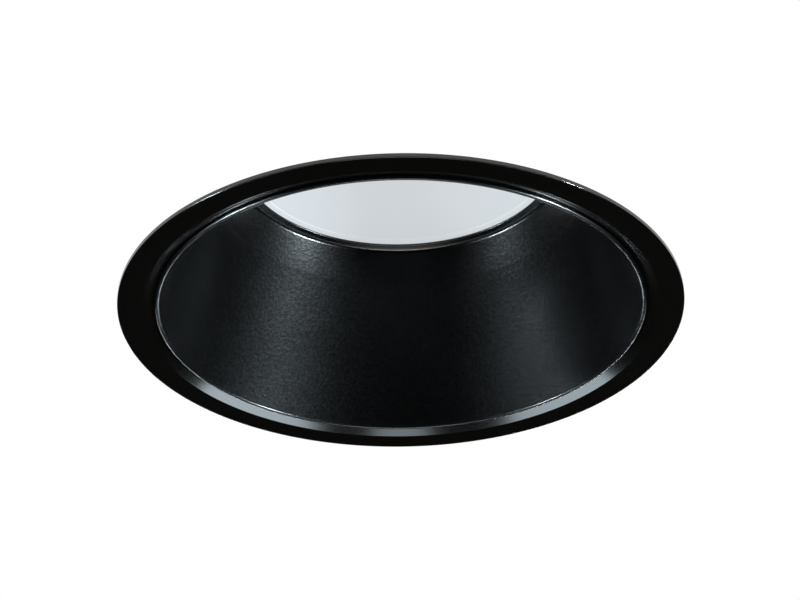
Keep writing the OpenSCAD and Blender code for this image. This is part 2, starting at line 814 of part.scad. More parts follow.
// Screws from below that hold the box on the bracket
module driver_screws() color("#b9bbbd") {
    for (x = [-1, 1], y = [-1, 1])
        translate([x * driver_screw_xy.x, y * driver_screw_xy.y, bracket_z]) rotate([180, 0, 0])
            screw(m3_r, bracket_t + box_wall + driver_screw_bite, m3_head_r, m3_head_h);
}

// Moulded box, open above, with posts for the board, bosses for the lid and a gland hole
module driver_base() color("#2b2c2e") {
    difference() {
        union() {
            difference() {
                translate([0, 0, floor_z]) rounded_block(box_l, box_w, box_h, box_corner_r);
                translate([0, 0, floor_top_z])
                    rounded_block(box_l - 2 * box_wall, box_w - 2 * box_wall, box_h,
                        box_corner_r - box_wall);
            }
            for (x = [-1, 1], y = [-1, 1])
                translate([x * driver_screw_xy.x, y * driver_screw_xy.y, 0])
                    bar(boss_r, floor_top_z - sunk, floor_top_z + driver_boss_h);
            for (x = [-1, 1], y = [-1, 1])
                translate([x * pcb_post_xy.x, y * pcb_post_xy.y, 0])
                    bar(pcb_post_r, floor_top_z - sunk, pcb_z);
            for (y = [-1, 1]) {
                translate([-lid_boss_xy.x, y * lid_boss_xy.y, 0])
                    bar(boss_r, floor_top_z - sunk, box_top_z);
                translate([seam_boss_x, y * lid_boss_xy.y, 0])
                    bar(boss_r, pcb_top_z + seam_boss_gap, box_top_z);
            }
            for (y = [-1, 1])
                translate([cover_screw_xy.x, y * cover_screw_xy.y, 0])
                    bar(boss_r, box_top_z - cover_boss_h, box_top_z);
        }
        bar(wire_hole_r, floor_z - cut, floor_top_z + cut);
        for (x = [-1, 1], y = [-1, 1])
            translate([x * driver_screw_xy.x, y * driver_screw_xy.y, 0])
                bar(m3_r, floor_z - cut, floor_top_z + driver_boss_h + cut);
        for (y = [-1, 1], x = [-lid_boss_xy.x, seam_boss_x])
            translate([x, y * lid_boss_xy.y, 0])
                bar(lid_screw_r, box_top_z - lid_screw_bite - hole_spare, box_top_z + cut);
        for (y = [-1, 1])
            translate([cover_screw_xy.x, y * cover_screw_xy.y, 0])
                bar(cover_hole_r, box_top_z - cover_hole_h, box_top_z + cut);
        translate([gland_x - box_wall - cut, 0, gland_z]) rotate([0, 90, 0])
            cylinder(r = gland_r + hole_slip, h = box_wall + 2 * cut);
    }
}

// A plate from x0 to x1 whose two corners on the end (-1 towards x0, 1 towards x1) are rounded
module box_plate(x0, x1, end, z) {
    r = box_corner_r;
    tip = end < 0 ? x0 : x1;
    translate([end < 0 ? x0 + r : x0, -box_w / 2, z]) cube([x1 - x0 - r, box_w, lid_t]);
    translate([end < 0 ? x0 : x1 - 2 * r, -box_w / 2 + r, z]) cube([2 * r, box_w - 2 * r, lid_t]);
    for (y = [-1, 1])
        translate([tip - end * r, y * (box_w / 2 - r), z]) cylinder(r = r, h = lid_t);
}

// Moulded lid over the electronics, with a rib down to the board and two outer knuckles
module driver_lid() color("#303133") {
    lid_x0 = -box_l / 2;
    difference() {
        union() {
            box_plate(lid_x0, seam_x, -1, lid_z);
            translate([seam_x - rib_back, -pcb_w / 2 + rib_inset, pcb_top_z + rib_gap])
                cube([rib_t, pcb_w - 2 * rib_inset, lid_z - pcb_top_z]);
            for (y = [-1, 1])
                knuckle(y * (knuckle_in + seam_gap + knuckle_w / 2), knuckle_w, -1, lid_z + lid_t);
        }
        for (y = [-1, 1], x = [-lid_boss_xy.x, seam_boss_x])
            translate([x, y * lid_boss_xy.y, 0]) bar(lid_hole_r, lid_z - cut, lid_z + lid_t + cut);
        hinge_bore(hinge_r + pin_grip);
    }
}

// One hinge knuckle at y, with a web down to the plate on the side side (-1 lid, 1 cover)
module knuckle(y, w, side, plate_z) {
    translate([seam_x, y + w / 2, hinge_z]) rotate([90, 0, 0]) cylinder(r = knuckle_r, h = w);
    translate([seam_x + (side < 0 ? -knuckle_r : seam_gap), y - w / 2, plate_z - sunk])
        cube([knuckle_r - (side < 0 ? 0 : seam_gap), w, hinge_z - plate_z + sunk]);
}

module hinge_bore(r) {
    translate([seam_x, box_w / 2, hinge_z]) rotate([90, 0, 0]) cylinder(r = r, h = box_w);
}

// Self-tapping screws that hold the lid
module lid_screws() color("#b9bbbd") {
    for (y = [-1, 1], x = [-lid_boss_xy.x, seam_boss_x])
        translate([x, y * lid_boss_xy.y, lid_z + lid_t])
            screw(lid_screw_r, lid_t + lid_screw_bite, lid_screw_head_r, lid_screw_head_h,
                lid_screw_slot);
}

// Moulded cover over the terminals, hinged on the lid
module terminal_cover() color("#303133") {
    difference() {
        union() {
            box_plate(seam_x + seam_gap, box_l / 2, 1, cover_z);
            knuckle(0, 2 * knuckle_in, 1, cover_top_z);
        }
        for (y = [-1, 1])
            translate([cover_screw_xy.x, y * cover_screw_xy.y, 0])
                bar(m3_r + hole_slip, cover_z - cut, cover_top_z + cut);
        hinge_bore(hinge_r + run_slip);
    }
}

// Steel pin through all three knuckles
module cover_hinge_pin() color("#c4c6c8") {
    l = 2 * (knuckle_in + seam_gap + knuckle_w);
    translate([seam_x, l / 2, hinge_z]) rotate([90, 0, 0]) cylinder(r = hinge_r, h = l);
}

// Short captive screws that keep the terminal cover shut
module cover_screws() color("#b9bbbd") {
    for (y = [-1, 1])
        translate([cover_screw_xy.x, y * cover_screw_xy.y, cover_top_z])
            screw(m3_r, lid_t + cover_screw_bite, m3_head_r, m3_tall_h);
}

// Circuit board, cut away round the two corner bosses
module driver_board() color("#2f6b3c") {
    difference() {
        translate([pcb_x0, -pcb_w / 2, pcb_z]) cube([pcb_x1 - pcb_x0, pcb_w, pcb_t]);
        for (y = [-1, 1])
            translate([-lid_boss_xy.x, y * lid_boss_xy.y, 0])
                bar(boss_r + pcb_room, pcb_z - cut, pcb_top_z + cut);
    }
}

// Transformer: ferrite core round a wound bobbin
module transformer() color("#3d3b38") {
    translate([transformer_x, 0, pcb_top_z]) {
        difference() {
            translate([-core_w / 2, -core_w / 2, core_h / 8]) cube([core_w, core_w, core_h]);
            translate([-core_w, -bobbin_w / 2, core_h * 3 / 8])
                cube([2 * core_w, bobbin_w, core_h / 2]);
        }
        translate([-bobbin_w * 0.6, -bobbin_w / 2 + slip, 0])
            cube([bobbin_w * 1.2, bobbin_w - 2 * slip, core_h * 3 / 8]);
        translate([0, bobbin_w / 2 - slip, core_h * 5 / 8]) rotate([90, 0, 0])
            cylinder(r = core_h / 4 - slip / 2, h = bobbin_w - 2 * slip);
    }
}

// Choke wound on a toroid that stands on the board
module choke() color("#b5713a") {
    translate([choke_xy.x, choke_xy.y, pcb_top_z + choke_r + choke_wound_r])
        rotate([90, 0, 0])
            rotate_extrude()
                translate([choke_r, 0]) circle(r = choke_wound_r, $fn = 24);
}

// Two electrolytic capacitors and one film capacitor
module capacitors() color("#31407a") {
    translate([-capacitor_r - 1, capacitor_y, pcb_top_z])
        cylinder(r = capacitor_r, h = capacitor_h);
    translate([capacitor_r + 1, capacitor_y, pcb_top_z])
        cylinder(r = capacitor_r * 0.8, h = capacitor_h * 0.85);
    translate([-capacitor_r * 2.4, -capacitor_y - 4, pcb_top_z])
        cube([capacitor_r * 2, capacitor_r, capacitor_h * 0.7]);
}

// Switching device with its tab and three legs
module switching_device() color("#1d1d1f") {
    translate([device_x, -device_w / 2, pcb_top_z]) {
        translate([0, 0, leg_h]) cube([device_t, device_w, device_w * 0.9]);
        translate([device_t - 1, 0, device_w * 0.9]) cube([tab_t, device_w, device_w / 2]);
        for (k = [1, 3, 5])
            translate([device_t / 3, device_w * k / 6 - leg_w / 2, 0]) cube([leg_w, leg_w, leg_h]);
    }
}

// Three-way terminal block on the end of the board, its entries towards the gland
module terminal_block() color("#e4e3dd") {
    difference() {
        translate([terminal_x, -terminal_w / 2, pcb_top_z])
            cube([terminal_l, terminal_w, terminal_h]);
        for (k = [-1:1]) {
            translate([terminal_x + terminal_l - terminal_entry_l, k * terminal_pitch,
                pcb_top_z + terminal_entry_z])
                rotate([0, 90, 0]) cylinder(r = terminal_entry_r, h = terminal_entry_l + cut);
            translate([terminal_x + terminal_screw_in, k * terminal_pitch, pcb_top_z + terminal_h])
                bar(terminal_screw_r + hole_slip, -terminal_well_h, cut);
        }
    }
}

// Slotted clamp screws in the terminal block
module terminal_screws() color("#b9bbbd") {
    for (k = [-1:1])
        translate([terminal_x + terminal_screw_in, k * terminal_pitch,
            pcb_top_z + terminal_h - terminal_well_h])
            difference() {
                bar(terminal_screw_r, 0, terminal_screw_h);
                translate([-terminal_w, -terminal_slot.x / 2, terminal_screw_h - terminal_slot.y])
                    cube([2 * terminal_w, terminal_slot.x, terminal_slot.y + cut]);
            }
}

// Places a part on the gland's axis, with Z pointing out of the box from the wall's face
module at_gland() {
    translate([gland_x, 0, gland_z]) rotate([0, 90, 0]) children();
}

// A hexagon with two flats level, from z0 to z1
module hexagon(flats, z0, z1) {
    rotate([0, 0, 30]) translate([0, 0, z0])
        cylinder(r = flats / 2 / cos(30), h = z1 - z0, $fn = 6);
}

// Gland body: thread through the wall, hexagon and a pocket for the seal
module gland_body() color("#1f1f21") {
    at_gland()
        difference() {
            union() {
                bar(gland_r, -box_wall - locknut_t - thread_end, sunk);
                hexagon(gland_hex, 0, gland_hex_w);
                bar(gland_r, gland_hex_w - sunk, gland_hex_w + gland_neck_l);
            }
            bar(gland_bore_r, -box_wall - locknut_t - cut, cut);
            bar(gland_seal_r, gland_floor, gland_hex_w + gland_neck_l + cut);
        }
}

// Rubber sleeve that grips the cable
module gland_seal() color("#3b3b3d") {
    at_gland()
        ring(cable_r, gland_seal_r - run_slip, gland_floor + slip, gland_seat_l - gland_seal_end);
}

// Dome nut that squeezes the seal
module gland_nut() color("#1f1f21") {
    dome_z = nut_z + nut_l + 1;
    at_gland()
        difference() {
            union() {
                hexagon(gland_hex, nut_z, nut_z + nut_l);
                rotate_extrude()
                    polygon(concat([[0, dome_z - 2], [nut_r, dome_z - 2], [nut_r, dome_z]],
                        arc([nut_r - nut_dome_r, dome_z], nut_dome_r, 0, nut_dome_a, 5),
                        [[0, dome_z + nut_dome_r * sin(nut_dome_a)]]));
            }
            bar(gland_r + hole_slip, nut_z - cut, gland_seat_l);
            bar(gland_bore_r, nut_z, dome_z + nut_dome_r + cut);
        }
}

// Locknut inside the box
module gland_locknut() color("#1f1f21") {
    at_gland()
        difference() {
            hexagon(gland_hex - 1, -box_wall - locknut_t, -box_wall);
            bar(gland_r + run_slip, -box_wall - locknut_t - cut, 0);
        }
}

// Places two rivets of a clip bracket, x above the slope, with Z along the rivet
module clip_rivet_places(x) {
    for (k = [0, 1])
        translate([x, (k == 0 ? 1 : -1) * rivet_y, plate_s0 + rivet_s[k]]) rotate([0, 90, 0])
            children();
}

// Domed rivets through the clip brackets and the can
module clip_rivets() color("#c4c6c8") {
    for (i = [1:clip_n])
        clip_at(i) on_slope(pin_z) clip_rivet_places(0) {
            bar(rivet_r, -can_t - (clinch_z[0] + clinch_z[1]) / 2, pad_proud + clip_t);
            bar(clinch_r, -can_t - clinch_z[1], -can_t - clinch_z[0]);
            rotate_extrude()
                polygon(concat([[0, pad_proud + clip_t]],
                    arc([0, pad_proud + clip_t], rivet_head_r, 0, rivet_head_a, 5),
                    [[0, pad_proud + clip_t + rivet_head_r * sin(rivet_head_a)]]));
        }
}

// Stamped bracket: a plate on the can's flat and two ears that hold the pin
module clip_bracket() color("#c2c5c8") {
    on_slope(pin_z)
        difference() {
            union() {
                translate([pad_proud, -plate_w / 2, plate_s0]) cube([clip_t, plate_w, plate_l]);
                for (y = [-cheek_in - clip_t, cheek_in])
                    translate([0, y + clip_t, 0]) rotate([90, 0, 0]) {
                        linear_extrude(height = clip_t)
                            polygon([[pad_proud, plate_s0], [pad_proud, plate_s0 + ear_l],
                                [pad_proud + clip_t + ear_foot, plate_s0 + ear_l],
                                [pin_x + ear_r * 0.8, ear_r * 0.6 - pin_drop],
                                [pin_x, -pin_drop - ear_r], [pin_x - ear_r, -pin_drop]]);
                        translate([pin_x, -pin_drop, 0]) cylinder(r = ear_r, h = clip_t);
                    }
            }
            translate([pin_x, plate_w, -pin_drop]) rotate([90, 0, 0])
                cylinder(r = pin_rad + pin_grip, h = 2 * plate_w);
            clip_rivet_places(-cut)
                cylinder(r = rivet_r + hole_slip, h = pad_proud + clip_t + 2 * cut);
        }
}

// Headed pin through bracket and arm
module clip_pin() color("#a9abad") {
    l = plate_w / 2;
    at_pin()
        rotate([90, 0, 0]) {
            bar(pin_rad, -l - pin_head_t, l + pin_head_t);
            bar(pin_head_r, -l - run_slip - pin_head_t, -l - run_slip);
            bar(pin_head_r, l + run_slip, l + run_slip + pin_head_t);
        }
}

// Stamped arm: web under the spring, two cheeks with the pin holes
module clip_arm() color("#c2c5c8") {
    at_pin()
        rotate([0, arm_droop, 0])
            difference() {
                union() {
                    translate([web_x, -arm_w / 2, web_z])
                        cube([arm_l - arm_corner_r - web_x, arm_w, clip_t]);
                    translate([arm_l - 2 * arm_corner_r, -arm_w / 2 + arm_corner_r, web_z])
                        cube([2 * arm_corner_r, arm_w - 2 * arm_corner_r, clip_t]);
                    for (y = [-1, 1])
                        translate([arm_l - arm_corner_r, y * (arm_w / 2 - arm_corner_r), web_z])
                            cylinder(r = arm_corner_r, h = clip_t);
                    for (y = [-arm_w / 2 + clip_t, arm_w / 2])
                        translate([0, y, 0]) rotate([90, 0, 0]) {
                            linear_extrude(height = clip_t)
                                polygon([[-ear_r, 0], [0, web_z], [cheek_x, web_z],
                                    [cheek_x, web_z + cheek_low], cheek_knee, [0, ear_r]]);
                            cylinder(r = ear_r, h = clip_t);
                        }
                }
                rotate([90, 0, 0])
                    cylinder(r = pin_rad + run_slip, h = 2 * arm_w, center = true);
            }
}

// Rubber boot over the arm's end, ribbed where it presses on the board
module clip_foot() color("#26262a") {
    x0 = foot_x;
    x1 = arm_l + foot_nose;
    z0 = web_z - foot_wall;
    z1 = web_z + clip_t + foot_wall;
    h = (z1 - z0) / 2;
    w = arm_w + foot_edge;
    at_pin()
        rotate([0, arm_droop, 0])
            difference() {
                union() {
                    translate([x0, -w / 2, z0]) cube([x1 - x0 - h, w, z1 - z0]);
                    translate([x1 - h, w / 2, z0 + h]) rotate([90, 0, 0]) cylinder(r = h, h = w);
                    for (k = [0:foot_rib_n - 1])
                        translate([x0 + foot_rib_x + foot_rib_pitch * k, w / 2 - foot_rib_inset, z0])
                            rotate([90, 0, 0])
                                cylinder(r = foot_rib_r, h = w - 2 * foot_rib_inset, $fn = 24);
                }
                translate([x0 - cut, -arm_w / 2 - run_slip, web_z - run_slip])
                    cube([arm_l - x0 + cut + run_slip, arm_w + 2 * run_slip, clip_t + 2 * run_slip]);
            }
}

// Path of the torsion spring: leg down the bracket, curls, leg out along the arm
function spring_path() =
    let (a0 = 180 + cone_a, a1 = 270 - arm_droop, sweep = 360 * coil_n + a1 - a0,
        n = ceil(curl_steps * sweep / 360), y0 = -(coil_pitch * sweep / 360) / 2,
        first = [for (k = [fixed_leg, fixed_leg / 2, 1])
            [coil_r * cos(a0) - k * cos(a0 + 90), y0, coil_r * sin(a0) - k * sin(a0 + 90)]],
        curls = [for (i = [0:n]) let (a = a0 + sweep * i / n)
            [coil_r * cos(a), y0 + coil_pitch * sweep / 360 * i / n, coil_r * sin(a)]],
        last = [for (k = [1, arm_leg / 2, arm_leg])
            [coil_r * cos(a1) + k * cos(a1 + 90), -y0, coil_r * sin(a1) + k * sin(a1 + 90)]])
    concat(first, curls, last);

// Least clear gap between stretches of the spring's wire that are a half curl or more apart
function least_gap(p, d) = let (apart = curl_steps / 2 + 1)
    min([for (i = [0:len(p) - 1 - apart], j = [i + apart:len(p) - 1]) norm(p[i] - p[j])]) - d;
echo(spring_least_gap_mm = least_gap(spring_path(), wire_d));

// Music-wire torsion spring round the pin
module clip_spring() color("#8f9296") {
    at_pin() tube(spring_path(), wire_d / 2, wire_sides);
}

trim_ring();
soffit_gasket();
reflector();
reflector_catches();
catch_rivets();
can();
collar_screws();
diffuser();
diffuser_seal();
diffuser_ring();
diffuser_ring_screws();
chamber_gasket();
heat_sink();
heat_sink_screws();
thermal_pad();
led_board();
led_packages();
led_board_screws();
led_connector();
lead_red();
lead_black();
lead_grommets();
driver_bracket();
bracket_screws();
driver_screws();
driver_base();
driver_lid();
lid_screws();
terminal_cover();
cover_hinge_pin();
cover_screws();
driver_board();
transformer();
choke();
capacitors();
switching_device();
terminal_block();
terminal_screws();
gland_body();
gland_seal();
gland_nut();
gland_locknut();
clip_at(1) clip_bracket();  // clip_bracket_1
clip_at(2) clip_bracket();  // clip_bracket_2
clip_at(3) clip_bracket();  // clip_bracket_3
clip_at(1) clip_pin();  // clip_pin_1
clip_at(2) clip_pin();  // clip_pin_2
clip_at(3) clip_pin();  // clip_pin_3
clip_at(1) clip_arm();  // clip_arm_1
clip_at(2) clip_arm();  // clip_arm_2
clip_at(3) clip_arm();  // clip_arm_3
clip_at(1) clip_foot();  // clip_foot_1
clip_at(2) clip_foot();  // clip_foot_2
clip_at(3) clip_foot();  // clip_foot_3
clip_at(1) clip_spring();  // clip_spring_1
clip_at(2) clip_spring();  // clip_spring_2
clip_at(3) clip_spring();  // clip_spring_3
clip_rivets();
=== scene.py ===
import json
import math

import bmesh
import bpy
from mathutils import Matrix, Vector

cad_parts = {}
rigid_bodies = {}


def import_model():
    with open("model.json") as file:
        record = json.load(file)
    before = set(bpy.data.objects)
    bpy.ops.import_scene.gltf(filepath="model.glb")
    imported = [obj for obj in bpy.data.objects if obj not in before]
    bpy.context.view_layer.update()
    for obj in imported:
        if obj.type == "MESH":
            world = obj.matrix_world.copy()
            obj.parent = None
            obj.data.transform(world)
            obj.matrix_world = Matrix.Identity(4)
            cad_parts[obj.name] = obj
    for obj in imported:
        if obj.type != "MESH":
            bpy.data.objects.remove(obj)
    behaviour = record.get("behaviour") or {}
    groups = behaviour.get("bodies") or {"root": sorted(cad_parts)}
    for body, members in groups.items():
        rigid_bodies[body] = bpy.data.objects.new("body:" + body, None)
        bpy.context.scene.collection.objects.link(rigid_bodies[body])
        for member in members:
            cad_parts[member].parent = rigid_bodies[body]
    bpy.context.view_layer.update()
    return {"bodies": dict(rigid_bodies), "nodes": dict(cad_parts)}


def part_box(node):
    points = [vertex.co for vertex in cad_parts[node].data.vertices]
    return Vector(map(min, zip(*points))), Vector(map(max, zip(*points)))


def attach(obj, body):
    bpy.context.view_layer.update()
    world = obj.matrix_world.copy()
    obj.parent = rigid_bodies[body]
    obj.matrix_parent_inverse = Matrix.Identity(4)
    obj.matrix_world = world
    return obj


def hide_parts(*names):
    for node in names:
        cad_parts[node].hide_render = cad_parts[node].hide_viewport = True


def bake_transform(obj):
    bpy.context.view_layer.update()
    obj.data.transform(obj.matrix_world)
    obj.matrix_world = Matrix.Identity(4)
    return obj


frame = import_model()
scene = bpy.context.scene
scene.view_settings.view_transform = "Standard"
MM = 0.001


# ---------------------------------------------------------------- camera
# The light is looked at from below, from about 31 degrees under the soffit and a metre away,
# which is how it shows on a porch ceiling.
face_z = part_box("trim_ring")[0].z
eye_distance = 0.9776
eye_elevation = math.radians(-30.60)
eye_roll = math.radians(-0.775)
aim_above_face = 5.5 * MM
aim_aside = -0.25 * MM
long_lens = 131.0
full_frame = 36

camera_data = bpy.data.cameras.new("studio_camera")
camera_data.lens = long_lens
camera_data.sensor_width = full_frame
camera_data.clip_start = 0.05
camera_data.clip_end = 50
camera = bpy.data.objects.new("studio_camera", camera_data)
scene.collection.objects.link(camera)
camera.location = (0, -eye_distance * math.cos(eye_elevation),
                   face_z + eye_distance * math.sin(eye_elevation))
aim = Vector((aim_aside, 0, face_z + aim_above_face)) - camera.location
camera.rotation_mode = "QUATERNION"
camera.rotation_quaternion = (aim.to_track_quat("-Z", "Y").to_matrix()
                              @ Matrix.Rotation(eye_roll, 3, "Z")).to_quaternion()
scene.camera = camera


# ---------------------------------------------------------------- soffit, floor and lamps
# A plain white soffit board shows from below and a plain pale floor from above.
# Each is see-through from its other side, so the whole light can be looked at from anywhere.
def nodes_of(material):
    """Empties a material and gives back its node tree with a new output in it."""
    material.use_nodes = True
    tree = material.node_tree
    tree.nodes.clear()
    return tree, tree.nodes.new("ShaderNodeOutputMaterial")


def one_sided(name, shader_type, **inputs):
    """A plain material that shows on the front of a face and is clear from behind."""
    material = bpy.data.materials.new(name)
    tree, output = nodes_of(material)
    front = tree.nodes.new(shader_type)
    for key, value in inputs.items():
        front.inputs[key].default_value = value
    clear = tree.nodes.new("ShaderNodeBsdfTransparent")
    side = tree.nodes.new("ShaderNodeNewGeometry")
    mix = tree.nodes.new("ShaderNodeMixShader")
    tree.links.new(side.outputs["Backfacing"], mix.inputs[0])
    tree.links.new(front.outputs[0], mix.inputs[1])
    tree.links.new(clear.outputs[0], mix.inputs[2])
    tree.links.new(mix.outputs[0], output.inputs["Surface"])
    return material


def stage_disc(name, hole_r, outer_r, z, faces_up, material):
    """A flat board of the stage with a round hole. It casts no shadow and sheds no soft light."""
    mesh = bpy.data.meshes.new(name)
    build = bmesh.new()
    steps = 128
    rings = [[build.verts.new((r * math.cos(2 * math.pi * k / steps),
                               r * math.sin(2 * math.pi * k / steps), z))
              for k in range(steps)] for r in (hole_r, outer_r)]
    for k in range(steps):
        corners = [rings[0][k], rings[1][k], rings[1][(k + 1) % steps], rings[0][(k + 1) % steps]]
        build.faces.new(corners if faces_up else corners[::-1])
    build.to_mesh(mesh)
    build.free()
    disc = bpy.data.objects.new(name, mesh)
    scene.collection.objects.link(disc)
    mesh.materials.append(material)
    disc.visible_diffuse = False
    disc.visible_shadow = False
    return disc


cut_out_r = 87.5 * MM
soffit_r = 6.0
soffit_white = one_sided("soffit_white", "ShaderNodeEmission", Color=(1, 1, 1, 1), Strength=1.0)
stage_disc("soffit_board", cut_out_r, soffit_r, 0.0, False, soffit_white)

floor_r = 40.0
floor_hole_r = 1 * MM
floor_z = face_z - 0.1 * MM
floor_grey = one_sided("pale_floor", "ShaderNodeBsdfDiffuse", Color=(0.86, 0.86, 0.86, 1))
floor = stage_disc("pale_floor", floor_hole_r, floor_r, floor_z, True, floor_grey)
floor.visible_glossy = False
floor.visible_transmission = False

# The world is pale above the horizon and almost black below it.
world = bpy.data.worlds.new("studio_world")
scene.world = world
world.use_nodes = True
sky = world.node_tree
sky.nodes.clear()
direction = sky.nodes.new("ShaderNodeTexCoord")
height_part = sky.nodes.new("ShaderNodeSeparateXYZ")
horizon = sky.nodes.new("ShaderNodeMapRange")
horizon.inputs["From Min"].default_value = -0.02
horizon.inputs["From Max"].default_value = -0.008
shade_of_sky = sky.nodes.new("ShaderNodeMix")
shade_of_sky.data_type = "RGBA"
shade_of_sky.inputs[6].default_value = (0.003, 0.003, 0.003, 1)
shade_of_sky.inputs[7].default_value = (0.88, 0.88, 0.88, 1)
air = sky.nodes.new("ShaderNodeBackground")
sky_output = sky.nodes.new("ShaderNodeOutputWorld")
sky.links.new(direction.outputs["Generated"], height_part.inputs[0])
sky.links.new(height_part.outputs["Z"], horizon.inputs["Value"])
sky.links.new(horizon.outputs["Result"], shade_of_sky.inputs[0])
sky.links.new(shade_of_sky.outputs[2], air.inputs["Color"])
sky.links.new(air.outputs[0], sky_output.inputs["Surface"])

cool_white = (0.87, 1.02, 1.10)
lamp_distance = 1.2


def soft_lamp(name, azimuth, elevation, width, height, watts, colour=cool_white):
    """A soft box that faces the light from an azimuth and elevation in degrees."""
    data = bpy.data.lights.new(name, "AREA")
    data.shape = "RECTANGLE"
    data.size = width
    data.size_y = height
    data.energy = watts
    data.color = colour
    lamp = bpy.data.objects.new(name, data)
    scene.collection.objects.link(lamp)
    turn = math.radians(azimuth)
    rise = math.radians(elevation)
    place = lamp_distance * Vector((math.cos(rise) * math.cos(turn),
                                    math.cos(rise) * math.sin(turn), math.sin(rise)))
    lamp.location = place
    lamp.rotation_mode = "QUATERNION"
    lamp.rotation_quaternion = (-place).to_track_quat("-Z", "Y")
    lamp.visible_camera = False


# Boxes on each side light the cone in two streaks, right up to its neck.
soft_lamp("cone_left", azimuth=-20.5, elevation=-26.5, width=0.15, height=0.13, watts=21.0)
soft_lamp("cone_right", azimuth=197, elevation=-25, width=0.17, height=0.10, watts=6.2)
soft_lamp("cone_right_low", azimuth=190, elevation=-30, width=0.17, height=0.10, watts=6.2)
soft_lamp("mouth_right", azimuth=191, elevation=-15, width=0.17, height=0.10, watts=1.1)
# Three boxes beyond the light show as sharp bright lengths of the ring's sloping band.
soft_lamp("band_left", azimuth=69.6, elevation=-53.9, width=0.17, height=0.31, watts=0.86)
soft_lamp("band_right", azimuth=110.6, elevation=-52.2, width=0.17, height=0.31, watts=0.76)
soft_lamp("band_middle", azimuth=89.6, elevation=-64.9, width=0.096, height=0.13, watts=0.1)
# Wide ones just under the soffit draw a fine line along the reflector's lip.
soft_lamp("lip_left", azimuth=72, elevation=-8, width=0.5, height=0.05, watts=2.0)
soft_lamp("lip_right", azimuth=108, elevation=-8, width=0.5, height=0.05, watts=2.0)
# A weak broad one hangs nearly straight below.
soft_lamp("below", azimuth=90, elevation=-82, width=0.4, height=0.4, watts=2.5, colour=(1, 1, 1))


# ---------------------------------------------------------------- trim ring
# Die-cast aluminium ring with a fine black powder coat. Its flat face and the band that slopes
# in to the reflector show below the soffit, and its spigot stands up inside the can.
def fillet(corners):
    """The profile through corners (r, z, radius), in millimetres, with each corner rounded."""
    path = []
    count = len(corners)
    for k, (r, z, radius) in enumerate(corners):
        here = Vector((r, z))
        if radius <= 0:
            path.append(here)
            continue
        before = (Vector(corners[k - 1][:2]) - here).normalized()
        after = (Vector(corners[(k + 1) % count][:2]) - here).normalized()
        half = before.angle(after) / 2
        reach = radius / math.tan(half)
        centre = here + (before + after).normalized() * radius / math.sin(half)
        start = here + before * reach - centre
        turn = start.angle_signed(here + after * reach - centre)
        steps = max(3, int(abs(math.degrees(turn)) / 12))
        for s in range(steps + 1):
            a = -turn * s / steps
            path.append(centre + Vector((start.x * math.cos(a) - start.y * math.sin(a),
                                         start.x * math.sin(a) + start.y * math.cos(a))))
    return path


def lathe(name, corners, material, body, replaced):
    """A piece turned about the light's axis, which takes the place of a CAD node."""
    path = fillet(corners)
    mesh = bpy.data.meshes.new(name)
    build = bmesh.new()
    steps = 360
    rings = []
    for k in range(steps):
        a = 2 * math.pi * k / steps
        rings.append([build.verts.new((p.x * MM * math.cos(a), p.x * MM * math.sin(a), p.y * MM))
                      for p in path])
    for k in range(steps):
        one = rings[k]
        two = rings[(k + 1) % steps]
        for j in range(len(path)):
            n = (j + 1) % len(path)
            build.faces.new((one[j], two[j], two[n], one[n]))
    bmesh.ops.recalc_face_normals(build, faces=build.faces)
    build.to_mesh(mesh)
    build.free()
    mesh.shade_smooth()
    piece = bpy.data.objects.new(name, mesh)
    scene.collection.objects.link(piece)
    mesh.materials.append(material)
    crisp = piece.modifiers.new("crisp_edges", "EDGE_SPLIT")
    crisp.split_angle = math.radians(32)
    piece.modifiers.new("even_normals", "WEIGHTED_NORMAL")
    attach(piece, body)
    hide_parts(replaced)


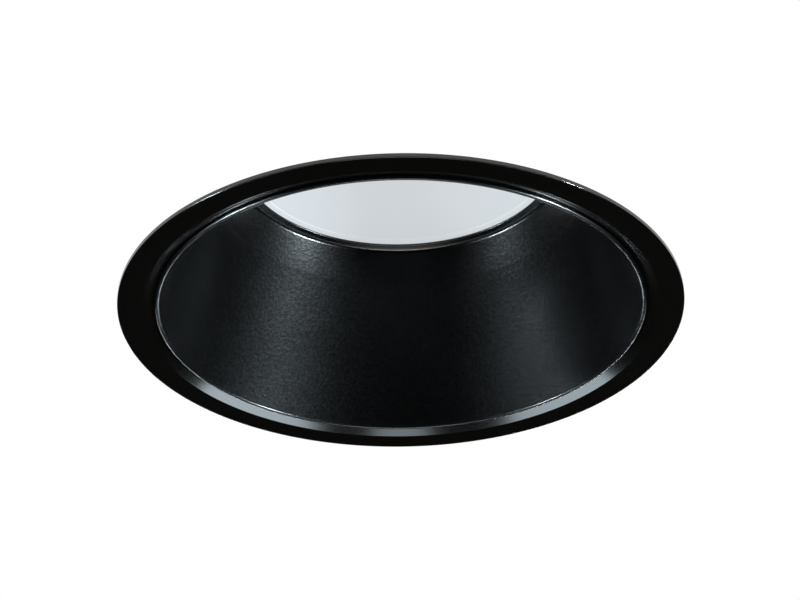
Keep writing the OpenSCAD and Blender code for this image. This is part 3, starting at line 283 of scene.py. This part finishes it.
def coat(name, colour, rough, grain, mottle, metal=0.0, specular=0.5, fleck=0.0):
    """A surface with fine grain as bump, and a slow drift in its colour and roughness.
    grain is (size of one grain, its height), both in millimetres. mottle is the share by which
    the colour drifts, and fleck the share by which one grain's roughness differs from the next."""
    material = bpy.data.materials.new(name)
    tree, output = nodes_of(material)
    skin = tree.nodes.new("ShaderNodeBsdfPrincipled")
    skin.inputs["Base Color"].default_value = (*colour, 1)
    skin.inputs["Roughness"].default_value = rough
    skin.inputs["Metallic"].default_value = metal
    skin.inputs["Specular IOR Level"].default_value = specular
    place = tree.nodes.new("ShaderNodeTexCoord")

    size, height = grain
    grains = tree.nodes.new("ShaderNodeTexNoise")
    grains.inputs["Scale"].default_value = 1 / (size * MM)
    grains.inputs["Detail"].default_value = 3
    grains.inputs["Roughness"].default_value = 0.6
    bump = tree.nodes.new("ShaderNodeBump")
    bump.inputs["Strength"].default_value = 1.0
    bump.inputs["Distance"].default_value = height * MM
    tree.links.new(place.outputs["Object"], grains.inputs["Vector"])
    tree.links.new(grains.outputs["Fac"], bump.inputs["Height"])
    tree.links.new(bump.outputs["Normal"], skin.inputs["Normal"])

    drift = tree.nodes.new("ShaderNodeTexNoise")
    drift.inputs["Scale"].default_value = 60
    drift.inputs["Detail"].default_value = 6
    shade = tree.nodes.new("ShaderNodeMix")
    shade.data_type = "RGBA"
    shade.inputs[6].default_value = (*[c * (1 - mottle) for c in colour], 1)
    shade.inputs[7].default_value = (*[min(1, c * (1 + mottle)) for c in colour], 1)
    wear = tree.nodes.new("ShaderNodeMapRange")
    wear.inputs["To Min"].default_value = rough * (1 - mottle * 0.5)
    wear.inputs["To Max"].default_value = min(1, rough * (1 + mottle * 0.5))
    tree.links.new(place.outputs["Object"], drift.inputs["Vector"])
    tree.links.new(drift.outputs["Fac"], shade.inputs[0])
    tree.links.new(shade.outputs[2], skin.inputs["Base Color"])
    tree.links.new(drift.outputs["Fac"], wear.inputs["Value"])
    tree.links.new(wear.outputs["Result"], skin.inputs["Roughness"])

    if fleck:
        flecks = tree.nodes.new("ShaderNodeMapRange")
        flecks.inputs["From Min"].default_value = 0.3
        flecks.inputs["From Max"].default_value = 0.7
        flecks.inputs["To Min"].default_value = 1 - fleck
        flecks.inputs["To Max"].default_value = 1 + fleck
        both = tree.nodes.new("ShaderNodeMath")
        both.operation = "MULTIPLY"
        tree.links.new(grains.outputs["Fac"], flecks.inputs["Value"])
        tree.links.new(wear.outputs["Result"], both.inputs[0])
        tree.links.new(flecks.outputs["Result"], both.inputs[1])
        tree.links.new(both.outputs[0], skin.inputs["Roughness"])
    tree.links.new(skin.outputs[0], output.inputs["Surface"])
    return material


powder_black = coat("powder_black", (0.0018, 0.0016, 0.0012), 0.11, grain=(0.6, 0.0015),
                    mottle=0.12, specular=0.8)
face = face_z / MM
flange_r = 95.0
slope_outer_r = 86.8
slope_top = face + 1.4
seat_r = 83.0
ledge_w = 1.1
ledge = face + 2.0
ledge_top = ledge + 1.4
spigot_r = seat_r + 1.3
spigot_top = 10.0
groove_in = 88.0
groove_out = 93.0
groove_top = -0.6
lathe("trim_ring_cast", [
    (seat_r - ledge_w, ledge, 0), (seat_r, ledge, 0), (seat_r, slope_top, 0.3),
    (slope_outer_r, face, 0.25), (flange_r, face, 0.25), (flange_r, 0, 0.15),
    (groove_out, 0, 0), (groove_out, groove_top, 0), (groove_in, groove_top, 0), (groove_in, 0, 0),
    (spigot_r, 0, 0), (spigot_r, spigot_top, 0.2), (seat_r, spigot_top, 0.2),
    (seat_r, ledge_top, 0), (seat_r - ledge_w, ledge_top, 0)],
    powder_black, "housing", "trim_ring")


# ---------------------------------------------------------------- reflector
# Cone spun from aluminium sheet, its lip rolled into a bead and its neck turned in over the
# diffuser's edge. It is painted satin black and pushes up into three spring catches. Its wall
# is a little bell-shaped, steeper at the lip than at the neck.
satin_black = coat("satin_black", (0.0004, 0.0005, 0.0005), 0.24, grain=(1.1, 0.05), mottle=0.12,
                   specular=0.8, fleck=0.12)
sheet = 0.8
mouth_r = 81.0
neck_r = 54.3
bead_r = 0.75
bead_centre_r = mouth_r + bead_r
lip_z = face + 0.3 + bead_r
bead_seam_z = lip_z + bead_r + 0.5
neck_top = face + 61.7
neck_z = neck_top - sheet
neck_edge = 0.38
throat_r = neck_r + 3.1
throat_edge = 1.8
lean = math.atan((mouth_r - throat_r) / (neck_z - lip_z))
level_sheet = sheet / math.cos(lean)
outer_throat_r = throat_r + level_sheet * 0.72
outer_throat_edge = 2.0
bend_r = 70.7
bend_z = face + 31
bend_curve = 540
flare_r = 61.25
flare_z = neck_z - 8
flare_curve = 250
bead = [(bead_centre_r + bead_r * math.cos(math.radians(a)),
         lip_z + bead_r * math.sin(math.radians(a)), 0) for a in range(60, -181, -12)]
lathe("reflector_spun", bead + [
    (bend_r, bend_z, bend_curve), (flare_r, flare_z, flare_curve),
    (throat_r, neck_z, throat_edge), (neck_r, neck_z, neck_edge), (neck_r, neck_top, neck_edge),
    (outer_throat_r, neck_top, outer_throat_edge), (bend_r + level_sheet, bend_z, bend_curve),
    (mouth_r + level_sheet, bead_seam_z, 0)],
    satin_black, "reflector", "reflector")


# ---------------------------------------------------------------- diffuser
# Opal polycarbonate disc, moulded as a shallow hat with a fine ring groove near its edge. The lamps
# light it only dimly; a soft glow of its own is painted light that makes it evenly bright.
opal = coat("opal", (0.19, 0.20, 0.206), 0.45, grain=(1.2, 0.002), mottle=0.04)
# Painted light: the opal's emission makes it glow evenly, though it is no lamp.
painted_glow = opal.node_tree.nodes["Principled BSDF"]
painted_glow.inputs["Emission Color"].default_value = (0.91, 0.96, 1.0, 1)
painted_glow.inputs["Emission Strength"].default_value = 0.62
plate = 1.5
middle_r = 0.01
opal_z = neck_top + 0.15
opal_edge = 0.3
rim_edge = 0.2
groove_r = neck_r - 2.3
groove_half = 0.45
lap_r = neck_r + 2.0
rim_r = neck_r + 6.5
rim_z = neck_top + 2.3
lathe("diffuser_moulded", [
    (middle_r, opal_z, 0), (groove_r - groove_half, opal_z, opal_edge),
    (groove_r, opal_z + groove_half, opal_edge), (groove_r + groove_half, opal_z, opal_edge),
    (lap_r, opal_z, opal_edge), (lap_r, rim_z, rim_edge), (rim_r, rim_z, rim_edge),
    (rim_r, rim_z + plate, rim_edge), (lap_r - plate, rim_z + plate, opal_edge),
    (lap_r - plate, opal_z + plate, opal_edge), (middle_r, opal_z + plate, 0)],
    opal, "housing", "diffuser")


# ---------------------------------------------------------------- gaskets and seal
# Closed-cell sponge rings keep dust out above the flange and round the light chamber, and a
# clear silicone ring seals the diffuser's rim. All three are cut or moulded rings.
nodes = frame["nodes"]
body_of = {name: next(body for body, empty in frame["bodies"].items() if empty == node.parent)
           for name, node in nodes.items()}


def dress(name, material, bevel):
    """A copy of a CAD node with its edges rounded takes its place. bevel is in millimetres, and
    with none the copy keeps its edges sharp."""
    crease = math.radians(38)
    mesh = nodes[name].data.copy()
    mesh.name = name + "_skin"
    build = bmesh.new()
    build.from_mesh(mesh)
    bmesh.ops.remove_doubles(build, verts=build.verts, dist=1e-6)
    bmesh.ops.dissolve_limit(build, angle_limit=math.radians(0.4), verts=build.verts,
                             edges=build.edges)
    build.to_mesh(mesh)
    build.free()
    mesh.shade_smooth()
    mesh.materials.clear()
    mesh.materials.append(material)
    piece = bpy.data.objects.new(name + "_skin", mesh)
    scene.collection.objects.link(piece)
    if bevel:
        soft = piece.modifiers.new("edges", "BEVEL")
        soft.width = bevel * MM
        soft.segments = 2
        soft.limit_method = "ANGLE"
        soft.angle_limit = crease
    else:
        mesh.set_sharp_from_angle(angle=crease)
    even = piece.modifiers.new("even_normals", "WEIGHTED_NORMAL")
    even.keep_sharp = True
    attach(piece, body_of[name])
    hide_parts(name)


sponge = coat("black_sponge", (0.022, 0.022, 0.024), 0.92, grain=(0.55, 0.09), mottle=0.35,
              specular=0.25)
clear_silicone = coat("clear_silicone", (0.6, 0.6, 0.57), 0.35, grain=(1.5, 0.004), mottle=0.05)
dress("soffit_gasket", sponge, 0.25)
dress("chamber_gasket", sponge, 0.15)
dress("diffuser_seal", clear_silicone, 0.2)


# ---------------------------------------------------------------- can and its catches
# The can is deep-drawn from aluminium sheet and has a satin skin with faint drawing lines
# round it. Three leaves of spring steel riveted to its wall grip the reflector.
def drawn(name, colour, rough):
    """Bright sheet with fine lines round the axis, such as a drawing tool leaves."""
    material = coat(name, colour, rough, grain=(0.9, 0.006), mottle=0.16, metal=1.0)
    tree = material.node_tree
    skin = tree.nodes["Principled BSDF"]
    place = tree.nodes.new("ShaderNodeTexCoord")
    squash = tree.nodes.new("ShaderNodeMapping")
    squash.inputs["Scale"].default_value = (12, 12, 2600)
    lines = tree.nodes.new("ShaderNodeTexNoise")
    lines.inputs["Scale"].default_value = 1.0
    lines.inputs["Detail"].default_value = 4
    score = tree.nodes.new("ShaderNodeBump")
    score.inputs["Strength"].default_value = 0.5
    score.inputs["Distance"].default_value = 0.004 * MM
    grain = skin.inputs["Normal"].links[0].from_socket
    tree.links.new(place.outputs["Object"], squash.inputs["Vector"])
    tree.links.new(squash.outputs[0], lines.inputs["Vector"])
    tree.links.new(lines.outputs["Fac"], score.inputs["Height"])
    tree.links.new(grain, score.inputs["Normal"])
    tree.links.new(score.outputs["Normal"], skin.inputs["Normal"])
    return material


drawn_aluminium = drawn("drawn_aluminium", (0.60, 0.61, 0.62), 0.34)
spring_steel = coat("spring_steel", (0.34, 0.34, 0.35), 0.28, grain=(0.4, 0.003), mottle=0.12,
                    metal=1.0)
dress("can", drawn_aluminium, 0.3)
dress("reflector_catches", spring_steel, 0.08)


# ---------------------------------------------------------------- screws and rivets
# Pan-head steel screws with a pressed cross slot and domed rivets, all with bright zinc plate.
# Each set joins the two pieces that lie under its heads.
bright_zinc = coat("bright_zinc", (0.58, 0.60, 0.63), 0.24, grain=(0.3, 0.002), mottle=0.10,
                   metal=1.0)
for name in ("collar_screws", "catch_rivets", "diffuser_ring_screws", "heat_sink_screws",
             "led_board_screws", "bracket_screws", "driver_screws", "lid_screws", "cover_screws",
             "clip_rivets", "terminal_screws"):
    dress(name, bright_zinc, 0.1)


# ---------------------------------------------------------------- diffuser ring
# Pressed from steel sheet with a dull zinc plate. Its screws pull it down on the diffuser's rim,
# which it clamps behind the reflector's neck.
dull_zinc = coat("dull_zinc", (0.50, 0.51, 0.53), 0.36, grain=(0.5, 0.003), mottle=0.1, metal=1.0)
dress("diffuser_ring", dull_zinc, 0.15)


# ---------------------------------------------------------------- heat sink
# Die-cast aluminium cup with radial fins and four posts, lightly blasted, so that the surface
# is dull and finely pitted with soft corners.
blasted = coat("blasted_aluminium", (0.40, 0.41, 0.42), 0.52, grain=(0.35, 0.02), mottle=0.12,
               metal=1.0)
dress("heat_sink", blasted, 0.35)


# ---------------------------------------------------------------- light board
# A round aluminium-cored board in white solder mask lies on a grey pad. It carries two rings of
# yellow light-emitting packages and a two-way connector, and can't be seen through the opal.
white_mask = coat("white_mask", (0.82, 0.82, 0.79), 0.25, grain=(0.8, 0.002), mottle=0.03)
phosphor = coat("phosphor", (0.85, 0.62, 0.12), 0.45, grain=(0.2, 0.01), mottle=0.08)
grey_pad = coat("grey_pad", (0.33, 0.35, 0.38), 0.8, grain=(0.4, 0.03), mottle=0.15)
natural_nylon = coat("natural_nylon", (0.72, 0.71, 0.65), 0.42, grain=(0.4, 0.008), mottle=0.05)
dress("thermal_pad", grey_pad, 0.1)
dress("led_board", white_mask, 0.15)
dress("led_packages", phosphor, 0.12)
dress("led_connector", natural_nylon, 0.15)


# ---------------------------------------------------------------- leads and grommets
# Two PVC-covered leads run from the connector up through the heat sink and the box's floor.
# Rubber grommets line both holes.
def tube(name, points, radius, sides):
    """A smooth round tube along points in metres, closed at both ends."""
    mesh = bpy.data.meshes.new(name)
    build = bmesh.new()
    rings = []
    across = None
    for k, point in enumerate(points):
        along = (points[min(k + 1, len(points) - 1)] - points[max(k - 1, 0)]).normalized()
        if across is None:
            across = along.orthogonal().normalized()
        across = (across - across.dot(along) * along).normalized()
        other = along.cross(across)
        rings.append([build.verts.new(point + radius * (across * math.cos(a)
                                                        + other * math.sin(a)))
                      for a in (2 * math.pi * j / sides for j in range(sides))])
    for one, two in zip(rings, rings[1:]):
        for j in range(sides):
            n = (j + 1) % sides
            build.faces.new((one[j], one[n], two[n], two[j]))
    build.faces.new(rings[0][::-1])
    build.faces.new(rings[-1])
    build.to_mesh(mesh)
    build.free()
    mesh.shade_smooth()
    mesh.set_sharp_from_angle(angle=math.radians(50))
    piece = bpy.data.objects.new(name, mesh)
    scene.collection.objects.link(piece)
    return piece


def lead(name, material):
    """A lead that runs level out of the connector, turns up and rises beside the light's axis."""
    low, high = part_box(name)
    y = (low.y + high.y) / 2
    r = (high.y - low.y) / 2
    bend = 5 * MM
    z0 = low.z + r
    flat = [Vector((high.x + (bend - high.x) * k / 6, y, z0)) for k in range(6)]
    turn = [Vector((bend - bend * math.sin(a), y, z0 + bend - bend * math.cos(a)))
            for a in (math.pi / 2 * k / 12 for k in range(13))]
    rise = [Vector((0, y, z0 + bend + (high.z - z0 - bend) * k / 12)) for k in range(1, 13)]
    wire = tube(name + "_wire", flat + turn + rise, r, 16)
    wire.data.materials.append(material)
    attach(wire, body_of[name])
    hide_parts(name)


red_pvc = coat("red_pvc", (0.42, 0.02, 0.015), 0.32, grain=(0.5, 0.004), mottle=0.08)
black_pvc = coat("black_pvc", (0.016, 0.016, 0.016), 0.34, grain=(0.5, 0.004), mottle=0.1)
black_rubber = coat("black_rubber", (0.02, 0.02, 0.021), 0.62, grain=(0.3, 0.012), mottle=0.25,
                    specular=0.35)
lead("lead_red", red_pvc)
lead("lead_black", black_pvc)
dress("lead_grommets", black_rubber, 0.2)


# ---------------------------------------------------------------- driver bracket
# Blanked from galvanised sheet, with rounded corners and plain punched holes. The zinc keeps
# its frosty spangle.
def spangled(name, dark, light, rough):
    """Hot-dip zinc: crystals a few millimetres across, each of its own shade and gloss."""
    material = bpy.data.materials.new(name)
    tree, output = nodes_of(material)
    skin = tree.nodes.new("ShaderNodeBsdfPrincipled")
    skin.inputs["Metallic"].default_value = 1.0
    place = tree.nodes.new("ShaderNodeTexCoord")
    wobble = tree.nodes.new("ShaderNodeTexNoise")
    wobble.inputs["Scale"].default_value = 300
    crystals = tree.nodes.new("ShaderNodeTexVoronoi")
    crystals.inputs["Scale"].default_value = 170
    smear = tree.nodes.new("ShaderNodeMix")
    smear.data_type = "VECTOR"
    smear.inputs[0].default_value = 0.004
    grey = tree.nodes.new("ShaderNodeRGBToBW")
    shade = tree.nodes.new("ShaderNodeMix")
    shade.data_type = "RGBA"
    shade.inputs[6].default_value = (*dark, 1)
    shade.inputs[7].default_value = (*light, 1)
    gloss = tree.nodes.new("ShaderNodeMapRange")
    gloss.inputs["To Min"].default_value = rough - 0.07
    gloss.inputs["To Max"].default_value = rough + 0.10
    ripple = tree.nodes.new("ShaderNodeBump")
    ripple.inputs["Strength"].default_value = 0.6
    ripple.inputs["Distance"].default_value = 0.01 * MM
    tree.links.new(place.outputs["Object"], wobble.inputs["Vector"])
    tree.links.new(place.outputs["Object"], smear.inputs[4])
    tree.links.new(wobble.outputs["Color"], smear.inputs[5])
    tree.links.new(smear.outputs[1], crystals.inputs["Vector"])
    tree.links.new(crystals.outputs["Color"], grey.inputs[0])
    tree.links.new(grey.outputs[0], shade.inputs[0])
    tree.links.new(grey.outputs[0], gloss.inputs["Value"])
    tree.links.new(shade.outputs[2], skin.inputs["Base Color"])
    tree.links.new(gloss.outputs["Result"], skin.inputs["Roughness"])
    tree.links.new(wobble.outputs["Fac"], ripple.inputs["Height"])
    tree.links.new(ripple.outputs["Normal"], skin.inputs["Normal"])
    tree.links.new(skin.outputs[0], output.inputs["Surface"])
    return material


zinc_sheet = spangled("zinc_sheet", (0.40, 0.41, 0.43), (0.62, 0.63, 0.65), 0.36)
dress("driver_bracket", zinc_sheet, 0.15)


# ---------------------------------------------------------------- driver box
# Base, lid and hinged terminal cover are moulded in black polycarbonate with a spark-eroded
# grain. The cover turns on a plated steel pin.
spark_grain = coat("spark_grain", (0.024, 0.0245, 0.026), 0.48, grain=(0.45, 0.03), mottle=0.12,
                   specular=0.45)
dress("driver_base", spark_grain, 0.3)
dress("driver_lid", spark_grain, 0.3)
dress("terminal_cover", spark_grain, 0.3)
dress("cover_hinge_pin", bright_zinc, 0.15)


# ---------------------------------------------------------------- driver's inside
# Green circuit board with a ferrite transformer, a choke wound with enamelled wire, sleeved
# capacitors, a switching device and a nylon terminal block.
def striped(name, one, two, rough, across, scale):
    """Two shades in soft stripes along an axis. A scale of 100 lays one every 3 millimetres."""
    material = bpy.data.materials.new(name)
    tree, output = nodes_of(material)
    skin = tree.nodes.new("ShaderNodeBsdfPrincipled")
    skin.inputs["Roughness"].default_value = rough
    place = tree.nodes.new("ShaderNodeTexCoord")
    wave = tree.nodes.new("ShaderNodeTexWave")
    wave.bands_direction = across
    wave.inputs["Scale"].default_value = scale
    wave.inputs["Distortion"].default_value = 0.6
    shade = tree.nodes.new("ShaderNodeMix")
    shade.data_type = "RGBA"
    shade.inputs[6].default_value = (*one, 1)
    shade.inputs[7].default_value = (*two, 1)
    ridge = tree.nodes.new("ShaderNodeBump")
    ridge.inputs["Distance"].default_value = 0.05 * MM
    tree.links.new(place.outputs["Object"], wave.inputs["Vector"])
    tree.links.new(wave.outputs["Fac"], shade.inputs[0])
    tree.links.new(wave.outputs["Fac"], ridge.inputs["Height"])
    tree.links.new(shade.outputs[2], skin.inputs["Base Color"])
    tree.links.new(ridge.outputs["Normal"], skin.inputs["Normal"])
    tree.links.new(skin.outputs[0], output.inputs["Surface"])
    return material


green_mask = striped("green_mask", (0.022, 0.13, 0.05), (0.03, 0.17, 0.065), 0.28, "Y", 31.23)
ferrite = coat("ferrite", (0.055, 0.053, 0.05), 0.5, grain=(0.3, 0.01), mottle=0.12)
enamelled_wire = striped("enamelled_wire", (0.30, 0.10, 0.03), (0.55, 0.22, 0.07), 0.22, "X", 99.95)
blue_sleeve = coat("blue_sleeve", (0.03, 0.06, 0.25), 0.25, grain=(1.0, 0.004), mottle=0.06)
black_epoxy = coat("black_epoxy", (0.018, 0.018, 0.018), 0.5, grain=(0.2, 0.008), mottle=0.12)
dress("driver_board", green_mask, 0.1)
dress("transformer", ferrite, 0.2)
dress("choke", enamelled_wire, 0)
dress("capacitors", blue_sleeve, 0.4)
dress("switching_device", black_epoxy, 0.12)
dress("terminal_block", natural_nylon, 0.25)


# ---------------------------------------------------------------- cable gland
# Moulded nylon body, dome nut and locknut with a rubber sleeve between them that grips the
# supply cable.
moulded_nylon = coat("moulded_nylon", (0.016, 0.016, 0.0175), 0.38, grain=(0.5, 0.006), mottle=0.1,
                     specular=0.45)
dress("gland_body", moulded_nylon, 0.25)
dress("gland_nut", moulded_nylon, 0.35)
dress("gland_locknut", moulded_nylon, 0.25)
dress("gland_seal", black_rubber, 0.3)


# ---------------------------------------------------------------- spring clips
# Three stamped arms turn on headed pins in stamped brackets. A music-wire torsion spring round
# each pin pushes the arm's rubber foot down on the board's back.
def clip_spring(number):
    """One spring: a leg up the bracket, five turns round the pin and a leg out along the arm."""
    name = f"clip_spring_{number}"
    low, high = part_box(f"clip_pin_{number}")
    middle = (low + high) / 2
    out = Vector((middle.x, middle.y, 0)).normalized()
    side = Vector((0, 0, 1)).cross(out)
    wire_r = 0.45 * MM
    coil_r = 2.5 * MM
    pitch = 1.45 * MM
    bracket_leg = (14, 12, 9, 6, 3, 1.5, 0.5)
    arm_leg = (0.5, 1.5, 3, 6, 9, 12, 15)
    arm_droop = 20
    first = math.radians(180) + lean
    last = math.radians(270 - arm_droop)
    sweep = 5 * 2 * math.pi + last - first
    half = pitch * sweep / (4 * math.pi)
    steps = int(40 * sweep / (2 * math.pi))

    def at(x, y, z):
        return middle + out * x + side * y + Vector((0, 0, z))

    def spot(a, y, along):
        return at(coil_r * math.cos(a) - along * math.sin(a), y,
                  coil_r * math.sin(a) + along * math.cos(a))

    path = [spot(first, -half, -k * MM) for k in bracket_leg]
    path += [spot(first + sweep * k / steps, -half + 2 * half * k / steps, 0)
             for k in range(steps + 1)]
    path += [spot(last, half, k * MM) for k in arm_leg]
    spring = tube(name + "_wire", path, wire_r, 12)
    spring.data.materials.append(spring_steel)
    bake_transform(spring)
    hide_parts(name)


stamped_zinc = coat("stamped_zinc", (0.55, 0.57, 0.60), 0.3, grain=(0.4, 0.004), mottle=0.14,
                    metal=1.0)
for number in (1, 2, 3):
    dress(f"clip_bracket_{number}", stamped_zinc, 0.12)
    dress(f"clip_pin_{number}", bright_zinc, 0.15)
    dress(f"clip_arm_{number}", stamped_zinc, 0.12)
    dress(f"clip_foot_{number}", black_rubber, 0.3)
    clip_spring(number)
